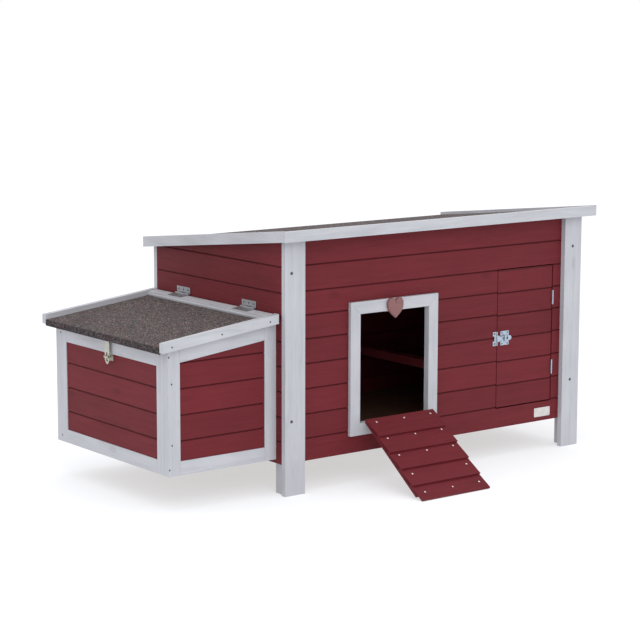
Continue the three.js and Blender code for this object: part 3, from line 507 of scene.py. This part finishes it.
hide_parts("door_turn_plate")
def wing(name, origin, normal, up, body, m, node_):
    """The turn knob: a waisted wing, thick in the middle."""
    n_ = Vector(normal); u_ = Vector(up); r_ = u_.cross(n_)
    bm = bmesh.new(); o0 = D(*origin); rings = []
    for k in range(13):
        s_ = -11 + 22 * k / 12
        half = 3.5 - 1.0 * math.cos(math.pi * s_ / 11) * 0.0 - 0.9 * (1 - abs(s_ / 11)) * 0.6 - (1.5 if k in (0, 12) else 0)
        top = 2.9 + 0.55 * abs(math.sin(math.pi * s_ / 22)) - (0.9 if k in (0, 12) else 0)
        ring = []
        for a, h in ((-1, 0), (-1, 0.7), (-0.75, 0.95), (0, 1), (0.75, 0.95), (1, 0.7), (1, 0)):
            ring.append(bm.verts.new(o0 + (u_ * s_ + r_ * half * a + n_ * top * h) / 1000))
        rings.append(ring)
    for A, B in zip(rings, rings[1:]):
        for i in range(len(A)):
            j = (i + 1) % len(A); bm.faces.new((A[i], B[i], B[j], A[j]))
    bm.faces.new(rings[0]); bm.faces.new(rings[-1][::-1])
    bmesh.ops.recalc_face_normals(bm, faces=bm.faces)
    o = obj(name, bm, body, m); smooth(o, 45)
    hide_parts(node_)
    return o
wing("door_turn_wing", (830, HB[3] - 5.9, hz), (0, -1, 0), (0, 0, 1), "door_turn_knob", ZINC, "door_turn_knob")
# a little play at the wing's two ends, so that the strap lifts off it freely
wv = bpy.data.objects["door_turn_wing"].data.vertices
wk = max(range(3), key=lambda k: max(v.co[k] for v in wv) - min(v.co[k] for v in wv))
wc = (max(v.co[wk] for v in wv) + min(v.co[wk] for v in wv)) / 2
for v in wv: v.co[wk] = wc + (v.co[wk] - wc) * 0.93
screw(790, HB[3] - 1.4, 378.2, (0, -1, 0), "coop", r=2.9)
screw(790, HB[3] - 1.4, 348.4, (0, -1, 0), "coop", r=2.9, tilt=1.0)
for x, z, ti in ((820.5, 379.8, 0.4), (842.5, 379.8, 0.1), (820.5, 346.2, 0.7), (842.5, 346.2, 1.2)):
    screw(x, HB[3] - 1.2, z, (0, -1, 0), "access_door", r=2.5, tilt=ti)

# ------------------------------------------------------------------ nest hasp
sb = dbox("nest_hasp_strap"); kb = dbox("nest_turn_knob")
pxx = (sb[0] + sb[1]) / 2; my = (sb[2] + sb[3]) / 2; kz = sb[5] - 2.0
d0 = kz - 388
L2 = [(-7.3, 0.4), (-7.3, -5), (-11.8, -9), (-11.8, -d0 - 9)] + [(-7, -d0 - 16), (-2, -d0 - 20.6), (2, -d0 - 20.6), (7, -d0 - 16)] + [(11.8, -d0 - 9), (11.8, -9), (7.3, -5), (7.3, 0.4)]
sl = rrect(-4.5, 4.5, -d0 - 13, -d0 + 13, 3)
flip = lambda P_: [(-a, b) for a, b in P_]
ns = plate("nest_hasp_strap_plate", [flip(L2), flip(sl)], 1.4, (pxx + 0.7, my, kz), (0, -1, 0), (0, 0, 1), "nest_hasp", YZINC, 0.35)
lathe("nest_hasp_strap_knuckle", [(0, 0), (1.7, 0), (2, 0.3), (2, 14.3), (1.7, 14.6), (0, 14.6)], (pxx, my - 7.3, kz), (0, 1, 0), "nest_hasp", YZINC)
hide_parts("nest_hasp_strap")
wing("nest_turn_wing", (pxx - 2.3, my, 388), (-1, 0, 0), (0, 1, 0), "nest_turn_knob", YZINC, "nest_turn_knob")

# ------------------------------------------------------------------ hinge pins and screws
LS = 44 / 379
for nm, z0, z1 in (("lower", 233, 276), ("upper", 448, 491)):
    lathe(f"door_hinge_pin_head_{nm}_top", [(0, -1.2), (1.5, -1.2), (2.1, -0.3), (2.1, 0.3), (1.3, 0.9), (0, 1.0)], (1026.6, 13.2, z1), (0, 0, 1), "coop", ZINC, 20)
    lathe(f"door_hinge_pin_head_{nm}_base", [(0, -1.2), (1.5, -1.2), (2.1, -0.3), (2.1, 0.3), (1.3, 0.9), (0, 1.0)], (1026.6, 13.2, z0), (0, 0, -1), "coop", ZINC, 20)
for nm in ("near", "far"):
    wb = dbox(f"lid_hinge_{nm}_wall_leaf"); lb = dbox(f"lid_hinge_{nm}_lid_leaf")
    yc = (wb[2] + wb[3]) / 2
    for dy in (-24, 0, 24):
        screw(-1.7, yc + dy, wb[5] - 8, (-1, 0, 0), "coop", r=3.0, tilt=0.3 + dy * 0.05)
    nrm = Vector((-LS, 0, 1)).normalized()
    for dy in (-24, 0, 24):
        x_ = -26
        screw(x_, yc + dy, 514 + LS * (x_ + 9) - 2.5 + 0.3 + 1.4, tuple(nrm), "nest_lid", r=3.0, tilt=0.8 + dy * 0.04)

# screws in the posts, the frames and the nest box
for z in (626, 211):
    screw(22, 0, z, (0, -1, 0), "coop", r=4.8)
for z in (623, 208.6):
    screw(1094, 0, z, (0, -1, 0), "coop", r=4.8, tilt=0.9)
for z in (560, 330, 130):
    for x in (22, 1108):
        screw(x, 659.5, z, (0, 1, 0), "coop", r=3.6, tilt=0.2)
nb = dbox("nest_near_frame")
nx0, nx1, ny0 = nb[0], nb[1], nb[2]
ny1 = dbox("nest_far_frame")[3]
for yy, nn in ((ny0, (0, -1, 0)), (ny1, (0, 1, 0))):
    for x, z in ((nx0 + 3.4, 119), (nx0 + 12, 185.3), (nx0 + 12, 352.8), (nx0 + 3.4, 426)):
        screw(x, yy, z, nn, "coop", r=2.6, tilt=z * 0.01)
for y in (b_[3] - 6,):
    for z in (119, 420):
        screw(b_[0], y, z, (-1, 0, 0), "coop", r=2.6, tilt=z * 0.02)
lt = dbox("lid_trim_near"); lf = dbox("lid_trim_far")
for x in (-359.7, -198.7, -38.2):
    zc = 514 + LS * (x + 9) - 15.5
    screw(x, lt[2], zc, (0, -1, 0), "nest_lid", r=2.6, tilt=0.6)
    screw(x, lf[3], zc, (0, 1, 0), "nest_lid", r=2.6, tilt=0.2)

# ramp nails: three to a slat, two on the fourth
th = math.radians(127.3); ry, rz = -3.2, 172.9
def ramp_pt(x, s, n):
    return D(x, ry + n * math.cos(th) - s * math.sin(th), rz + n * math.sin(th) + s * math.cos(th))
pitch, lap = (314.6 - 2.1) / 5, 9
for k, s_ in enumerate((18, 81, 145.5, 218, 286.5)):
    a_ = 2.1 + k * pitch
    b2 = 314.6 if k == 4 else a_ + pitch + lap
    rise = 5.2 * (b2 - a_) / (pitch + lap) + 2.2
    n_ = 17.8 + 4 + rise * (s_ - a_) / (b2 - a_)
    nv = Vector((0, math.cos(th), math.sin(th)))
    slope = Vector((0, -math.sin(th), math.cos(th)))
    nrm = (nv - slope * (rise / (b2 - a_))).normalized()
    for j, x in enumerate((300, 402, 501)):
        if k == 3 and j == 1: continue
        nail(ramp_pt(x, s_, n_), nrm, "ramp")

# bead along the lid rail and the blank plate by the door
rb = dbox("lid_hinge_rail")
bx = rb[0]
zb_ = 514 + LS * (bx + 9) - 2.5
pts = [(bx + 0.4, zb_ - 4.4), (bx - 0.8, zb_ - 4.9), (bx - 1.5, zb_ - 6.2), (bx - 1.5, zb_ - 9.6), (bx + 0.4, zb_ - 9.6)]
poly("lid_rail_bead", pts, "xz", rb[2] + 0.4, rb[3] - 0.4, "nest_lid", wood("white", "y"), 0.4)
plate("blank_maker_plate", [rrect(960, 1026, 102, 130, 3)], 0.9, (0, 16.25, 0), (1, 0, 0), (0, 0, 1), "coop", LABEL, 0.25)

# ------------------------------------------------------------------ stage, light, camera
bpy.ops.mesh.primitive_plane_add(size=60, location=(0, 0, -0.0005))
floor = bpy.context.object; floor.name = "studio_floor"
fm, ft, fb = nt("studio_floor"); fb.inputs["Base Color"].default_value = (0.46, 0.475, 0.51, 1); fb.inputs["Roughness"].default_value = 0.8
fb.inputs["Specular IOR Level"].default_value = 0.0
fb.inputs["Emission Color"].default_value = (1, 1, 1, 1); fb.inputs["Emission Strength"].default_value = 0.57
setmat(floor, fm)

w = bpy.context.scene.world or bpy.data.worlds.new("w"); bpy.context.scene.world = w
w.use_nodes = True
bg = w.node_tree.nodes["Background"]; bg.inputs[0].default_value = (1, 1, 1, 1); bg.inputs[1].default_value = 1.0

def area(name, loc, target, size, power):
    l = bpy.data.lights.new(name, "AREA"); l.shape = "DISK"; l.size = size; l.energy = power
    o = bpy.data.objects.new(name, l); bpy.context.scene.collection.objects.link(o)
    o.location = loc
    o.rotation_euler = (Vector(target) - Vector(loc)).to_track_quat("-Z", "Y").to_euler()
    return o
area("key", (-1.9, -3.9, 3.2), (0, 0, 0.3), 2.8, 42)
area("top", (0.0, 0.2, 4.2), (0, 0, 0.2), 3.0, 40)

az, el, ro = math.radians(-37.51), math.radians(9.16), math.radians(0.15)
back = Vector((math.sin(az) * math.cos(el), -math.cos(az) * math.cos(el), math.sin(el)))
fwd = -back; right = fwd.cross(Vector((0, 0, 1))).normalized(); up = right.cross(fwd)
r2 = right * math.cos(ro) + up * math.sin(ro); u2 = -right * math.sin(ro) + up * math.cos(ro)
cam = bpy.data.cameras.new("camera"); co = bpy.data.objects.new("camera", cam)
bpy.context.scene.collection.objects.link(co)
p = D(-3246.1, -4385.7, 1379.0)
co.matrix_world = Matrix(((r2.x, u2.x, back.x, p.x), (r2.y, u2.y, back.y, p.y), (r2.z, u2.z, back.z, p.z), (0, 0, 0, 1)))
cam.sensor_width = 36; cam.lens = 2015.57 / 640 * 36
cam.clip_end = 100
bpy.context.scene.camera = co
bpy.context.scene.view_settings.view_transform = "Standard"
bpy.context.scene.view_settings.look = "None"
